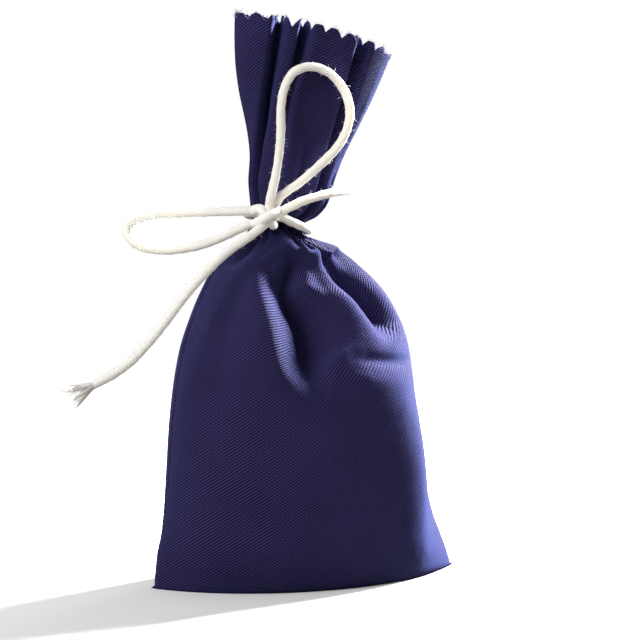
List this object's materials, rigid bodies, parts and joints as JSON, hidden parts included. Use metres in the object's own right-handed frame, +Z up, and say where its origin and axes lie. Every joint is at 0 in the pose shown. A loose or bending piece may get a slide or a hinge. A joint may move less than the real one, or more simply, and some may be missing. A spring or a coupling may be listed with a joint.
{
  "type": "lavender sachet",
  "caption": "Twill pouch filled with dried lavender, gathered at the neck and tied with a cotton cord in a bow below a flared mouth with a pinked edge.",
  "frame": {"origin": "middle of the base, on the surface the sachet stands on", "axes": "+Z up from the base to the mouth, -Y towards the front with the bow, +X to the viewer's right"},
  "size_m": [0.1274, 0.0541, 0.1688],
  "materials": {
    "twill": "dark blue violet cotton twill with a fine diagonal rib and a soft satin sheen, raw pinked edge",
    "dried_buds": "loose dried lavender buds, grey violet and straw, matte",
    "cotton_cord": "soft cream cotton cord with a slight twist and fine loose hairs, matte"
  },
  "bodies": {
    "root": {"front_panel": "twill", "back_panel": "twill", "lavender_filling": "dried_buds", "neck_wrap": "cotton_cord", "bow_knot": "cotton_cord", "bow_loop_upper": "cotton_cord", "bow_loop_left": "cotton_cord", "cord_tail_left": "cotton_cord", "cord_tail_right": "cotton_cord", "frayed_end": "cotton_cord"}
  },
  "joints": []
}
